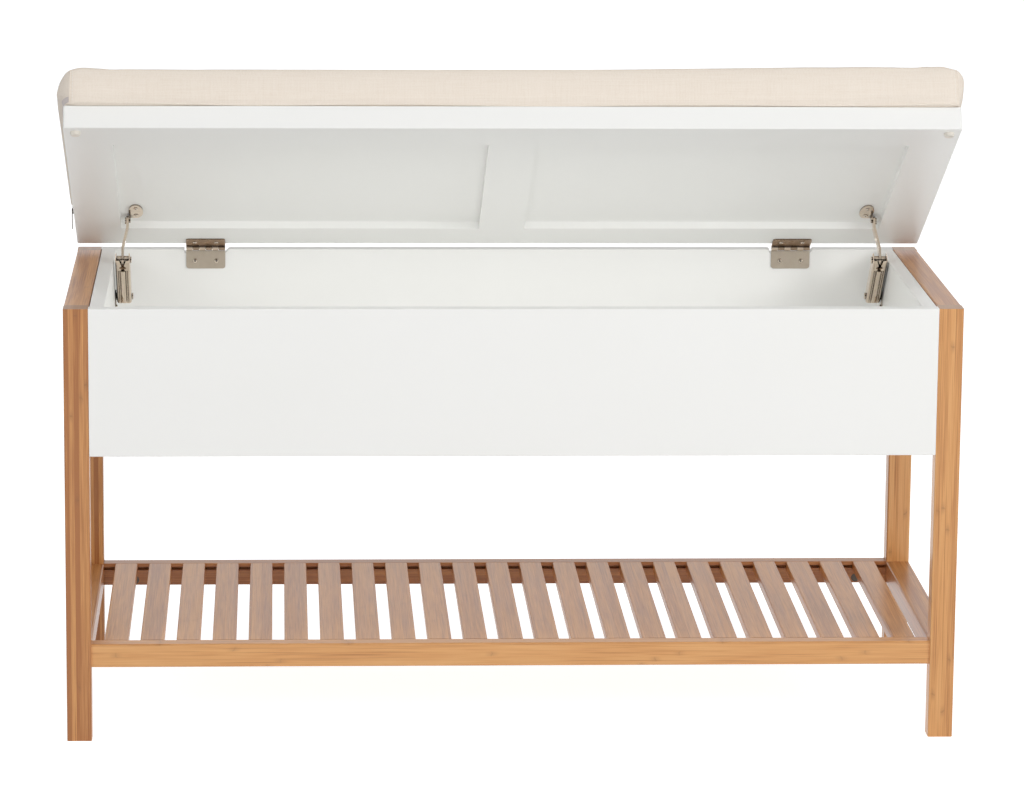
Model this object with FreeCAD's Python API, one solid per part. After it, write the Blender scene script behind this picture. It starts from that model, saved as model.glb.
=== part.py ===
import FreeCAD, Part
import math
import os
from FreeCAD import Vector

os.makedirs("parts", exist_ok=True)

# Shoe storage bench: two bamboo side frames carry a painted box with a hinged padded lid
# over a slatted shelf. Sizes are in millimetres. X runs to the right, Y to the rear and
# Z up, with the origin on the floor under the middle of the frame. The lid stands open.

# Bamboo frame
bench_width = 900.0
bench_depth = 370.0
frame_height = 444.0
leg_width = 25.0
leg_depth = 22.0
top_rail_height = 25.0
wood_round = 1.5

# Painted box
panel_thickness = 15.0
box_height = 150.0
bottom_thickness = 9.0
bottom_rise = 6.0
side_panel_gap = 0.8
paint_round = 1.0

# Slatted shelf
shelf_top = 100.0
shelf_rail_height = 24.0
shelf_rail_depth = 18.0
shelf_rail_setback = 3.0
slat_count = 23
slat_width = 24.0
slat_thickness = 11.0
tongue_thickness = 3.0
tongue_length = 6.0
tongue_clearance = 0.15

# Bolts and barrel nuts that hold the shelf rails to the legs
bolt_diameter = 6.0
bolt_head_diameter = 10.0
bolt_head_height = 3.5
bolt_hole_clearance = 0.1
socket_width = 4.0
socket_depth = 2.0
nut_diameter = 9.0
nut_length = 14.0
nut_from_rail_end = 33.4
nut_above_rail_bottom = 6.0
bolt_past_nut = 6.0

# Lid, closed sizes; it turns up by the open angle at the end
lid_board_thickness = 16.0
lid_frame_thickness = 8.0
lid_strip_width = 48.0
lid_gap = 4.0
lid_behind_axis = -7.0
lid_open_angle = 29.0
lid_corner_round = 2.0

# Clear bumpers under the lid's front corners
bumper_diameter = 10.0
bumper_edge_inset = 12.0
bumper_closed_gap = 0.3
bumper_chamfer = 1.0

# Cushion on the lid
cushion_edge_height = 41.5
cushion_crown = 4.0
cushion_side_swell = 4.0
cushion_draw_in = 4.0
cushion_end_swell = 1.0
cushion_end_rounding = 14.0
cushion_end_angles = (90, 60, 30, 0)
cushion_end_foot_share = 0.15
cushion_end_side_share = 0.55
cushion_seat_gap = 0.3
cushion_quarter_draw = 0.75
cushion_quarter_crown = 0.9
cushion_shoulder_crown = 0.4

# Zip slider on the cushion's left end
zip_from_lid_rear = 22.0
zip_above_lid = 6.0
slider_length = 9.0
slider_width = 6.0
slider_height = 3.2
slider_gap = 0.3
pull_length = 19.0
pull_width = 3.6
pull_thickness = 0.9

# Butt hinges
hinge_inset = 136.3
hinge_length = 41.5
leaf_reach = 22.8
leaf_thickness = 1.4
leaf_offset = 2.0
leaf_corner = 3.0
knuckle_count = 6
knuckle_diameter = 6.0
knuckle_gap = 0.3
knuckle_turning_room = 0.5
hinge_pin_diameter = 3.0
pin_clearance = 0.05
hinge_screw_spacing = 22.7
hinge_screw_from_axis = 14.5
notch_depth = 4.0
notch_room = 2.0

# Wood screws of the hinges and stays
screw_diameter = 2.6
screw_length = 10.0
screw_head_diameter = 5.0
screw_head_height = 1.2
screw_hole_clearance = 0.05

# Lid stays: a channel turning on the box wall and an arm turning on the lid
stay_from_wall = 9.7
stay_wall_pivot_ahead = 33.2
stay_wall_pivot_below = 46.8
stay_lid_pivot_ahead = 74.9
stay_lid_pivot_above = 3.5
channel_width = 15.4
channel_half_depth = 7.5
channel_wall = 1.2
channel_web = 2.2
channel_notch_length = 4.5
channel_diamond_half_width = 4.0
channel_diamond_half_length = 5.0
channel_corner = 2.4
channel_rib_radius = 2.8
channel_groove_radius = 1.3
channel_groove_aside = 3.9
channel_mouth = 14.0
elbow_slot_inward = 3.5
elbow_slot_outward = 0.4
elbow_slot_clearance = 0.25
stay_pin_diameter = 4.0
stay_washer_gap = 0.3
rivet_head_diameter = 7.0
rivet_head_height = 1.2
arm_length = 42.4
arm_lean = 23.8
arm_width = 10.0
arm_thickness = 2.5
arm_sleeve_diameter = 8.4
arm_bend_start = 8.0
arm_bend_end = 30.0
wall_plate_thickness = 1.2
wall_plate_width = 14.0
wall_screw_first = 11.5
wall_screw_pitch = 8.0
wall_plate_end = 5.5
lid_plate_width = 15.0
lid_plate_length = 38.0
lid_plate_thickness = 1.5
lid_plate_ahead = 14.0
lid_screw_pitch = 20.0
ear_thickness = 1.5
ear_radius = 5.0
ear_from_wall = 16.2
drill_margin = 1.0

# Places worked out from the sizes above
along_x = Vector(1, 0, 0)
along_y = Vector(0, 1, 0)
along_z = Vector(0, 0, 1)
half_width = bench_width / 2
half_depth = bench_depth / 2
inner_leg_x = half_width - leg_width
inner_leg_y = half_depth - leg_depth
panel_inner_y = half_depth - panel_thickness
wall_x = inner_leg_x - side_panel_gap - panel_thickness
box_bottom = frame_height - box_height
lid_bottom = frame_height + lid_gap
lid_floor = lid_bottom + lid_frame_thickness
lid_top = lid_floor + lid_board_thickness
hinge_y = panel_inner_y - leaf_offset
hinge_z = lid_bottom - leaf_offset
hinge_point = Vector(0, hinge_y, hinge_z)
lid_rear = hinge_y + lid_behind_axis
lid_front = -half_depth
hinge_x = half_width - hinge_inset
shelf_bottom = shelf_top - shelf_rail_height
rail_outer_y = half_depth - shelf_rail_setback
rail_inner_y = rail_outer_y - shelf_rail_depth
bolt_y = (rail_outer_y + rail_inner_y) / 2
bolt_z = shelf_bottom + nut_above_rail_bottom
nut_x = inner_leg_x - nut_from_rail_end
stay_x = wall_x - stay_from_wall
ear_outer_x = wall_x - ear_from_wall
wall_pivot = Vector(0, hinge_y - stay_wall_pivot_ahead, hinge_z - stay_wall_pivot_below)
lid_pivot_closed = Vector(0, hinge_y - stay_lid_pivot_ahead, hinge_z + stay_lid_pivot_above)
lid_plate_y = lid_pivot_closed.y - lid_plate_ahead
wall_screw_drops = (wall_screw_first, wall_screw_first + wall_screw_pitch)
side_names = {-1: "left", 1: "right"}


def save(name, shape):
    shape.exportStep("parts/" + name + ".step")


def block(x0, x1, y0, y1, z0, z1):
    corner = Vector(min(x0, x1), min(y0, y1), min(z0, z1))
    return Part.makeBox(abs(x1 - x0), abs(y1 - y0), abs(z1 - z0), corner)


def rod(start, axis, radius, length):
    return Part.makeCylinder(radius, length, start, axis)


def parallel_edges(shape, axis):
    return [edge for edge in shape.Edges if abs(edge.tangentAt(edge.FirstParameter).dot(axis)) > 0.999]


def eased(shape, radius, axis):
    return shape.makeFillet(radius, parallel_edges(shape, axis))


def eased_at(shape, radius, axis, test):
    chosen = [edge for edge in parallel_edges(shape, axis) if test(edge.CenterOfMass)]
    return shape.makeFillet(radius, chosen)


def joined(shapes):
    whole = shapes[0]
    for shape in shapes[1:]:
        whole = whole.fuse(shape)
    return whole.removeSplitter()


def opened(shape):
    # Turns a lid piece from its closed place up to the open angle
    turned = shape.copy()
    turned.rotate(hinge_point, along_x, -lid_open_angle)
    return turned


def mirrored(shape):
    return shape.mirror(Vector(0, 0, 0), along_x)


def sided(shape, side):
    # Pieces are drawn on the right; the left one is their mirror image
    return shape if side > 0 else mirrored(shape)


def stadium(start, end, radius, thickness):
    # A bar with round ends, standing in the YZ plane and drawn out along X from its start
    run = end.sub(start)
    length = run.Length
    u = Vector(run.x / length, run.y / length, run.z / length)
    v = along_x.cross(u)
    up = v * radius
    corners = [start.add(up), end.add(up), end.sub(up), start.sub(up)]
    far_cap = Part.Arc(corners[1], end.add(u * radius), corners[2]).toShape()
    near_cap = Part.Arc(corners[3], start.sub(u * radius), corners[0]).toShape()
    top = Part.LineSegment(corners[0], corners[1]).toShape()
    bottom = Part.LineSegment(corners[2], corners[3]).toShape()
    outline = Part.Wire([top, far_cap, bottom, near_cap])
    return Part.Face(outline).extrude(along_x * thickness)


def wood_screw(seat, axis):
    # The axis points into the wood, and the head stands on the seat
    shank = rod(seat, axis, screw_diameter / 2, screw_length)
    crown = screw_head_diameter / 2 - screw_head_height / 2
    head = Part.makeCone(screw_head_diameter / 2, crown, screw_head_height, seat, axis * -1)
    return head.fuse(shank).removeSplitter()


def screw_hole(seat, axis, depth):
    return rod(seat, axis, screw_diameter / 2 + screw_hole_clearance, depth)


# Hinge screw places
def hinge_screw_xs():
    places = []
    for side in side_names:
        for step in (-0.5, 0.5):
            places.append(side * hinge_x + step * hinge_screw_spacing)
    return places


# Legs and rails of the side frames
def leg(side, end):
    x0 = side * inner_leg_x
    x1 = side * half_width
    y0 = end * inner_leg_y
    y1 = end * half_depth
    post = eased(block(x0, x1, y0, y1, 0, frame_height), wood_round, along_z)
    seat = Vector(x1, end * bolt_y, bolt_z)
    inward = along_x * -side
    bore = rod(seat, inward, bolt_diameter / 2 + bolt_hole_clearance, leg_width)
    head_room = rod(seat, inward, bolt_head_diameter / 2 + bolt_hole_clearance, bolt_head_height)
    return post.cut(bore).cut(head_room)


def top_rail(side):
    x0 = side * inner_leg_x
    x1 = side * half_width
    rail = block(x0, x1, -inner_leg_y, inner_leg_y, frame_height - top_rail_height, frame_height)
    return eased(rail, wood_round, along_y)


def shelf_side_rail(side):
    x0 = side * inner_leg_x
    x1 = side * half_width
    rail = block(x0, x1, -inner_leg_y, inner_leg_y, shelf_bottom, shelf_top)
    return eased(rail, wood_round, along_y)


for side, side_name in side_names.items():
    save("front_leg_" + side_name, leg(side, -1))
    save("rear_leg_" + side_name, leg(side, 1))
    save("top_rail_" + side_name, top_rail(side))
    save("shelf_side_rail_" + side_name, shelf_side_rail(side))


# Shelf rails with a groove for the slats' tongues
slat_bottom = shelf_top - slat_thickness
tongue_bottom = slat_bottom + (slat_thickness - tongue_thickness) / 2


def shelf_rail(end):
    y0 = end * rail_inner_y
    y1 = end * rail_outer_y
    rail = block(-inner_leg_x, inner_leg_x, y0, y1, shelf_bottom, shelf_top)
    rail = eased(rail, wood_round, along_x)
    groove_end = end * (rail_inner_y + tongue_length + tongue_clearance)
    groove_top = tongue_bottom + tongue_thickness + tongue_clearance
    groove = block(-inner_leg_x, inner_leg_x, y0, groove_end, tongue_bottom - tongue_clearance, groove_top)
    rail = rail.cut(groove)
    outward = along_y * end
    for side in side_names:
        nut_seat = Vector(side * nut_x, y0, bolt_z)
        rail = rail.cut(rod(nut_seat, outward, nut_diameter / 2 + bolt_hole_clearance, nut_length))
        bolt_seat = Vector(side * inner_leg_x, end * bolt_y, bolt_z)
        bore_length = nut_from_rail_end + bolt_past_nut + 1.0
        bore = rod(bolt_seat, along_x * -side, bolt_diameter / 2 + bolt_hole_clearance, bore_length)
        rail = rail.cut(bore)
    return rail


def barrel_nut(side, end):
    seat = Vector(side * nut_x, end * rail_inner_y, bolt_z)
    nut = rod(seat, along_y * end, nut_diameter / 2, nut_length)
    start = Vector(side * nut_x - nut_diameter, end * bolt_y, bolt_z)
    return nut.cut(rod(start, along_x, bolt_diameter / 2 + pin_clearance, 2 * nut_diameter))


def shelf_bolt(side, end):
    seat = Vector(side * half_width, end * bolt_y, bolt_z)
    inward = along_x * -side
    head = rod(seat, inward, bolt_head_diameter / 2, bolt_head_height)
    reach = half_width - nut_x + bolt_past_nut
    shank = rod(seat, inward, bolt_diameter / 2, reach)
    # Hexagon socket in the head
    corners = []
    for step in range(7):
        turn = math.radians(60 * step)
        offset = Vector(0, math.cos(turn), math.sin(turn)) * (socket_width / math.sqrt(3))
        corners.append(seat + offset)
    socket = Part.Face(Part.makePolygon(corners)).extrude(inward * socket_depth)
    return head.fuse(shank).cut(socket).removeSplitter()


save("shelf_front_rail", shelf_rail(-1))
save("shelf_rear_rail", shelf_rail(1))
corner_places = [(side, end) for side in side_names for end in (-1, 1)]
save("barrel_nuts", Part.makeCompound([barrel_nut(side, end) for side, end in corner_places]))
save("shelf_bolts", Part.makeCompound([shelf_bolt(side, end) for side, end in corner_places]))

# Slats, evenly spaced between the legs
slat_gap = (2 * inner_leg_x - slat_count * slat_width) / (slat_count + 1)


def slat(number):
    x0 = -inner_leg_x + slat_gap + number * (slat_width + slat_gap)
    x1 = x0 + slat_width
    bar = block(x0, x1, -rail_inner_y, rail_inner_y, slat_bottom, shelf_top)
    bar = eased(bar, wood_round, along_y)
    reach = rail_inner_y + tongue_length
    tongue_top = tongue_bottom + tongue_thickness
    tongue = block(x0 + wood_round, x1 - wood_round, -reach, reach, tongue_bottom, tongue_top)
    return bar.fuse(tongue).removeSplitter()


for number in range(slat_count):
    save("shelf_slat_%02d" % (number + 1), slat(number))


# Box panels
def front_panel():
    panel = block(-inner_leg_x, inner_leg_x, -half_depth, -panel_inner_y, box_bottom, frame_height)
    return eased(panel, paint_round, along_x)


def back_panel():
    panel = block(-inner_leg_x, inner_leg_x, panel_inner_y, half_depth, box_bottom, frame_height)
    panel = eased(panel, paint_round, along_x)
    notch_floor = frame_height - notch_depth
    past_top = frame_height + notch_depth
    for side in side_names:
        # Room for the knuckles: square at one end and sloped at the other
        near = side * hinge_x - hinge_length / 2 - notch_room
        far = side * hinge_x + hinge_length / 2 + notch_room / 4
        slope_run = past_top - notch_floor
        outline = [(near, past_top), (near, notch_floor), (far, notch_floor), (far + slope_run, past_top)]
        points = [Vector(x, panel_inner_y, z) for x, z in outline]
        points.append(points[0])
        panel = panel.cut(Part.Face(Part.makePolygon(points)).extrude(along_y * panel_thickness))
    for x in hinge_screw_xs():
        seat = Vector(x, panel_inner_y, hinge_z - hinge_screw_from_axis)
        panel = panel.cut(screw_hole(seat, along_y, screw_length))
    return panel


def side_panel():
    x1 = wall_x + panel_thickness
    panel = block(wall_x, x1, -panel_inner_y, panel_inner_y, box_bottom, frame_height)
    panel = eased(panel, paint_round, along_y)
    for drop in wall_screw_drops:
        seat = Vector(wall_x, wall_pivot.y, wall_pivot.z - drop)
        panel = panel.cut(screw_hole(seat, along_x, screw_length))
    return panel


def bottom_panel():
    z0 = box_bottom + bottom_rise
    return block(-wall_x, wall_x, -panel_inner_y, panel_inner_y, z0, z0 + bottom_thickness)


save("front_panel", front_panel())
save("back_panel", back_panel())
save("bottom_panel", bottom_panel())
for side, side_name in side_names.items():
    save(side_name + "_panel", sided(side_panel(), side))


# Lid board and the frame of strips under it
def lid_screw_seats():
    seats = [Vector(x, hinge_y - hinge_screw_from_axis, lid_bottom) for x in hinge_screw_xs()]
    plate_x = ear_outer_x - lid_plate_width / 2
    for side in side_names:
        for step in (-0.5, 0.5):
            seats.append(Vector(side * plate_x, lid_plate_y + step * lid_screw_pitch, lid_floor))
    return seats


def lid_board():
    board = block(-half_width, half_width, lid_front, lid_rear, lid_floor, lid_top)
    board = eased(board, lid_corner_round, along_z)
    top_edges = [edge for edge in board.Edges if abs(edge.CenterOfMass.z - lid_top) < 0.01]
    board = board.makeFillet(paint_round, top_edges)
    for seat in lid_screw_seats():
        board = board.cut(screw_hole(seat, along_z, screw_length))
    return board


def lid_frame():
    frame = block(-half_width, half_width, lid_front, lid_rear, lid_bottom, lid_floor)
    frame = eased(frame, lid_corner_round, along_z)
    low_edges = [edge for edge in frame.Edges if abs(edge.CenterOfMass.z - lid_bottom) < 0.01]
    frame = frame.makeFillet(paint_round, low_edges)
    for side in side_names:
        x0 = side * lid_strip_width / 2
        x1 = side * (half_width - lid_strip_width)
        y0 = lid_front + lid_strip_width
        y1 = lid_rear - lid_strip_width
        frame = frame.cut(block(x0, x1, y0, y1, lid_bottom, lid_floor))
    for x in hinge_screw_xs():
        seat = Vector(x, hinge_y - hinge_screw_from_axis, lid_bottom)
        frame = frame.cut(screw_hole(seat, along_z, screw_length))
    return frame


def bumper(side):
    height = lid_gap - bumper_closed_gap
    seat = Vector(side * (half_width - bumper_edge_inset), lid_front + bumper_edge_inset, lid_bottom)
    pad = rod(seat, along_z * -1, bumper_diameter / 2, height)
    low = [edge for edge in pad.Edges if edge.Closed and edge.CenterOfMass.z < lid_bottom - height / 2]
    return pad.makeChamfer(bumper_chamfer, low)


save("lid_board", opened(lid_board()))
save("lid_frame", opened(lid_frame()))
save("lid_bumpers", opened(Part.makeCompound([bumper(side) for side in side_names])))


# Cushion: crowned top, swelling sides that draw in between the corners
def cushion_section(x, drop, draw_in, crown):
    low = lid_top + cushion_seat_gap + cushion_end_foot_share * drop
    high = lid_top + cushion_seat_gap + cushion_edge_height - drop
    middle = (low + high) / 2
    swell = cushion_side_swell * (high - low) / cushion_edge_height
    front = lid_front + cushion_end_side_share * drop + draw_in
    rear = lid_rear - cushion_end_side_share * drop - draw_in
    front_low = Vector(x, front, low)
    front_high = Vector(x, front, high)
    rear_low = Vector(x, rear, low)
    rear_high = Vector(x, rear, high)
    front_out = Vector(x, front - swell, middle)
    rear_out = Vector(x, rear + swell, middle)
    top_middle = Vector(x, (front + rear) / 2, high + crown)
    base = Part.LineSegment(rear_low, front_low).toShape()
    front_side = Part.Arc(front_low, front_out, front_high).toShape()
    top = Part.Arc(front_high, top_middle, rear_high).toShape()
    rear_side = Part.Arc(rear_high, rear_out, rear_low).toShape()
    return Part.Wire([base, front_side, top, rear_side])


def cushion():
    end = half_width + cushion_end_swell
    shoulder = end - cushion_end_rounding
    shoulder_crown = cushion_shoulder_crown * cushion_crown
    quarter_crown = cushion_quarter_crown * cushion_crown
    quarter_draw = cushion_quarter_draw * cushion_draw_in
    sections = [
        cushion_section(-shoulder, 0, 0, shoulder_crown),
        cushion_section(-half_width / 2, 0, quarter_draw, quarter_crown),
        cushion_section(0, 0, cushion_draw_in, cushion_crown),
        cushion_section(half_width / 2, 0, quarter_draw, quarter_crown),
        cushion_section(shoulder, 0, 0, shoulder_crown),
    ]
    bodies = [Part.makeLoft(sections, True, False)]
    # Both ends are rounded off over the top and, less, round the corners
    for side in side_names:
        sections = []
        for angle in cushion_end_angles:
            turn = math.radians(angle)
            x = side * (shoulder + cushion_end_rounding * math.cos(turn))
            drop = cushion_end_rounding * (1 - math.sin(turn))
            sections.append(cushion_section(x, drop, 0, shoulder_crown))
        bodies.append(Part.makeLoft(sections, True, True))
    return joined(bodies)


def zip_slider():
    # Hangs on the cushion's left end, with its pull straight down from the nose when open
    x = -(half_width + cushion_end_swell + slider_gap)
    centre = Vector(x, lid_rear - zip_from_lid_rear, lid_top + zip_above_lid)
    y0 = centre.y - slider_length / 2
    y1 = centre.y + slider_length / 2
    z0 = centre.z - slider_width / 2
    z1 = centre.z + slider_width / 2
    body = block(x - slider_height, x, y0, y1, z0, z1)
    body = eased(body, slider_height / 4, along_x)
    body = opened(body)
    centre.x = x - slider_height / 2
    hinge_to_centre = opened(Part.Vertex(centre)).Point
    pull_x = x - slider_height
    top = hinge_to_centre + Vector(pull_x - centre.x, 0, 0)
    low = top - along_z * pull_length
    pull = stadium(low, top, pull_width / 2, -pull_thickness)
    return joined([body, pull])


save("cushion", opened(cushion()))
save("zip_slider", zip_slider())


# Butt hinges: leaves drawn flat against their seats, knuckles shared out in turn
def knuckle_span(number):
    pitch = hinge_length / knuckle_count
    start = -hinge_length / 2 + number * pitch
    return start + knuckle_gap / 2, start + pitch - knuckle_gap / 2


def hinge_leaf(first_knuckle, centre_x):
    # Drawn hanging below the axis, with its back on the plane behind the axis
    back = hinge_y + leaf_offset
    face = back - leaf_thickness
    plate_top = hinge_z - knuckle_diameter / 2 - knuckle_turning_room
    plate_bottom = hinge_z - leaf_reach
    x0 = centre_x - hinge_length / 2
    x1 = centre_x + hinge_length / 2
    plate = block(x0, x1, face, back, plate_bottom, plate_top)
    plate = eased_at(plate, leaf_corner, along_y, lambda centre: centre.z < plate_bottom + leaf_corner)
    pieces = [plate]
    for number in range(first_knuckle, knuckle_count, 2):
        left, right = knuckle_span(number)
        tab = block(centre_x + left, centre_x + right, face, back, plate_top, hinge_z)
        barrel_start = Vector(centre_x + left, hinge_y, hinge_z)
        barrel = rod(barrel_start, along_x, knuckle_diameter / 2, right - left)
        pieces.append(tab)
        pieces.append(barrel)
    leaf = joined(pieces)
    bore_start = Vector(x0 - knuckle_gap, hinge_y, hinge_z)
    bore_length = hinge_length + 2 * knuckle_gap
    leaf = leaf.cut(rod(bore_start, along_x, hinge_pin_diameter / 2 + pin_clearance, bore_length))
    for step in (-0.5, 0.5):
        x = centre_x + step * hinge_screw_spacing
        start = Vector(x, face, hinge_z - hinge_screw_from_axis)
        leaf = leaf.cut(screw_hole(start, along_y, leaf_thickness))
    return leaf


def lid_leaf(centre_x):
    # The lid's leaf is the same stamping, folded round the axis under the closed lid
    leaf = hinge_leaf(1, centre_x)
    return leaf.mirror(hinge_point, Vector(0, 1, -1).normalize())


def hinge_pin(centre_x):
    start = Vector(centre_x - hinge_length / 2, hinge_y, hinge_z)
    return rod(start, along_x, hinge_pin_diameter / 2, hinge_length)


for side, side_name in side_names.items():
    save("hinge_box_leaf_" + side_name, hinge_leaf(0, side * hinge_x))
    save("hinge_lid_leaf_" + side_name, opened(lid_leaf(side * hinge_x)))
save("hinge_pins", Part.makeCompound([hinge_pin(side * hinge_x) for side in side_names]))

# Lid stays, drawn on the right
lid_pivot = opened(Part.Vertex(lid_pivot_closed)).Point
arm_down = Vector(0, -math.sin(math.radians(arm_lean)), -math.cos(math.radians(arm_lean)))
elbow = lid_pivot + arm_down * arm_length
channel_run = (elbow - wall_pivot).normalize()
channel_length = (elbow - wall_pivot).Length
channel_open_side = along_x.cross(channel_run) * -1
channel_inner_x = stay_x - channel_width / 2
channel_outer_x = stay_x + channel_width / 2
arm_top_x = ear_outer_x + stay_washer_gap + arm_thickness / 2


def at_x(point, x):
    return Vector(x, point.y, point.z)


def slab(start, along, across, thickness):
    corners = [start, start + along, start + along + across, start + across, start]
    return Part.Face(Part.makePolygon(corners)).extrude(along_x * thickness)


def stay_channel():
    near = at_x(wall_pivot, channel_inner_x)
    far = near + channel_run * (channel_length + elbow_slot_outward)
    shell = stadium(near, far, channel_half_depth, channel_width)
    shell = eased(shell, channel_corner, channel_run)
    # A rounded rib between two grooves is pressed down the front, as far as the diamond
    depth = channel_half_depth - channel_wall
    front = channel_open_side * -channel_half_depth
    rib_start = at_x(wall_pivot, stay_x) - channel_open_side * depth
    rib_length = channel_length - channel_notch_length - channel_diamond_half_length
    shell = joined([shell, rod(rib_start, channel_run, channel_rib_radius, rib_length)])
    margin = 2 * channel_half_depth
    for side in side_names:
        groove_start = at_x(wall_pivot, stay_x + side * channel_groove_aside) + front - channel_run * margin
        shell = shell.cut(rod(groove_start, channel_run, channel_groove_radius, rib_length + margin))
    # Hollow it, with a mouth at the back of the upper end where the arm swings out
    inner_width = channel_width - 2 * channel_wall
    start = near + along_x * channel_wall - channel_run * margin + front + channel_open_side * channel_web
    hollow_along = channel_run * (channel_length + 2 * margin)
    hollow_across = channel_open_side * (channel_half_depth + depth - channel_web)
    mouth_start = start + channel_run * (margin + channel_length - channel_mouth)
    mouth_along = channel_run * (channel_mouth + margin)
    mouth_across = channel_open_side * (channel_half_depth + depth + margin)
    shell = shell.cut(slab(start, hollow_along, hollow_across, inner_width))
    shell = shell.cut(slab(mouth_start, mouth_along, mouth_across, inner_width))
    # Notch in the web's upper end, running down into a diamond
    notch_tip = wall_pivot + channel_run * (channel_length - channel_notch_length)
    notch_end = notch_tip + channel_run * (channel_notch_length + margin)
    half_notch = along_x * (inner_width / 2)
    wedge = [notch_tip, notch_end + half_notch, notch_end - half_notch, notch_tip]
    wedge = [at_x(point, point.x + stay_x) + front for point in wedge]
    shell = shell.cut(Part.Face(Part.makePolygon(wedge)).extrude(channel_open_side * channel_half_depth))
    reach = channel_run * channel_diamond_half_length
    width = along_x * channel_diamond_half_width
    diamond = [notch_tip + step for step in (reach, width, -reach, -width, reach)]
    diamond = [at_x(point, point.x + stay_x) + front for point in diamond]
    shell = shell.cut(Part.Face(Part.makePolygon(diamond)).extrude(channel_open_side * channel_half_depth))
    # Pivot hole at the wall end and a slot for the elbow pin
    before = channel_inner_x - drill_margin
    through = channel_width + 2 * drill_margin
    hole = rod(at_x(wall_pivot, before), along_x, stay_pin_diameter / 2 + pin_clearance, through)
    slot_near = at_x(elbow - channel_run * elbow_slot_inward, before)
    slot_far = at_x(elbow + channel_run * elbow_slot_outward, before)
    slot = stadium(slot_near, slot_far, stay_pin_diameter / 2 + elbow_slot_clearance, through)
    return shell.cut(hole).cut(slot)


def stay_arm():
    # A flat bar set over from the ear's plane to the middle of the channel
    across = along_x.cross(arm_down)
    half = arm_thickness / 2
    end_radius = arm_width / 2
    stops = [
        (-end_radius, arm_top_x),
        (arm_bend_start, arm_top_x),
        (arm_bend_end, stay_x),
        (arm_length + end_radius, stay_x),
    ]
    inner = [at_x(lid_pivot + arm_down * run, x - half) for run, x in stops]
    outer = [at_x(lid_pivot + arm_down * run, x + half) for run, x in reversed(stops)]
    outline = inner + outer + inner[:1]
    shift = across * -end_radius
    outline = [point + shift for point in outline]
    bar = Part.Face(Part.makePolygon(outline)).extrude(across * arm_width)
    low_x = min(arm_top_x, stay_x) - arm_width
    high_x = max(arm_top_x, stay_x) + arm_width
    ends = stadium(at_x(lid_pivot, low_x), at_x(elbow, low_x), end_radius, high_x - low_x)
    bar = bar.common(ends)
    hole = rod(at_x(lid_pivot, low_x), along_x, stay_pin_diameter / 2 + pin_clearance, high_x - low_x)
    bar = bar.cut(hole)
    # Elbow pin with its spacer sleeve and one head
    sleeve_half = channel_width / 2 - channel_wall - stay_washer_gap
    sleeve = rod(at_x(elbow, stay_x - sleeve_half), along_x, arm_sleeve_diameter / 2, 2 * sleeve_half)
    head_x = channel_inner_x - stay_washer_gap - rivet_head_height
    pin = rod(at_x(elbow, head_x), along_x, stay_pin_diameter / 2, channel_outer_x - head_x)
    head = rod(at_x(elbow, head_x), along_x, rivet_head_diameter / 2, rivet_head_height)
    return joined([bar, sleeve, pin, head])


def wall_bracket():
    plate_x = wall_x - wall_plate_thickness
    low = wall_pivot - along_z * (wall_screw_drops[-1] + wall_plate_end - wall_plate_width / 2)
    plate = stadium(at_x(low, plate_x), at_x(wall_pivot, plate_x), wall_plate_width / 2, wall_plate_thickness)
    shoulder_x = channel_outer_x + stay_washer_gap
    shoulder = rod(at_x(wall_pivot, shoulder_x), along_x, stay_pin_diameter, plate_x - shoulder_x)
    head_x = channel_inner_x - stay_washer_gap - rivet_head_height
    pin = rod(at_x(wall_pivot, head_x), along_x, stay_pin_diameter / 2, plate_x - head_x)
    head = rod(at_x(wall_pivot, head_x), along_x, rivet_head_diameter / 2, rivet_head_height)
    bracket = joined([plate, shoulder, pin, head])
    for drop in wall_screw_drops:
        seat = Vector(plate_x, wall_pivot.y, wall_pivot.z - drop)
        bracket = bracket.cut(screw_hole(seat, along_x, wall_plate_thickness))
    return bracket


def lid_bracket():
    # Drawn under the closed lid: an oval plate on the recess floor and an ear folded down
    plate_x = ear_outer_x - lid_plate_width / 2
    plate_low = lid_floor - lid_plate_thickness
    middle = Vector(plate_x, lid_plate_y, plate_low)
    long_end = middle + along_y * (lid_plate_length / 2)
    short_end = middle + along_x * (lid_plate_width / 2)
    outline = Part.Wire(Part.Ellipse(long_end, short_end, middle).toShape())
    plate = Part.Face(outline).extrude(along_z * lid_plate_thickness)
    ear_x = ear_outer_x - ear_thickness
    pivot = at_x(lid_pivot_closed, ear_x)
    ear = rod(pivot, along_x, ear_radius, ear_thickness)
    stem = block(ear_x, ear_outer_x, pivot.y - ear_radius, pivot.y + ear_radius, pivot.z, lid_floor)
    tab = block(plate_x, ear_outer_x, pivot.y - ear_radius, pivot.y + ear_radius, plate_low, lid_floor)
    head_x = arm_top_x + arm_thickness / 2 + stay_washer_gap
    pin = rod(pivot, along_x, stay_pin_diameter / 2, head_x + rivet_head_height - ear_x)
    head = rod(at_x(pivot, head_x), along_x, rivet_head_diameter / 2, rivet_head_height)
    bracket = joined([plate, tab, ear, stem, pin, head])
    for step in (-0.5, 0.5):
        seat = Vector(plate_x, lid_plate_y + step * lid_screw_pitch, plate_low)
        bracket = bracket.cut(screw_hole(seat, along_z, lid_plate_thickness))
    return bracket


for side, side_name in side_names.items():
    save("stay_body_" + side_name, sided(stay_channel(), side))
    save("stay_arm_" + side_name, sided(stay_arm(), side))
    save("stay_wall_bracket_" + side_name, sided(wall_bracket(), side))
    save("stay_lid_bracket_" + side_name, sided(opened(lid_bracket()), side))


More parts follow.
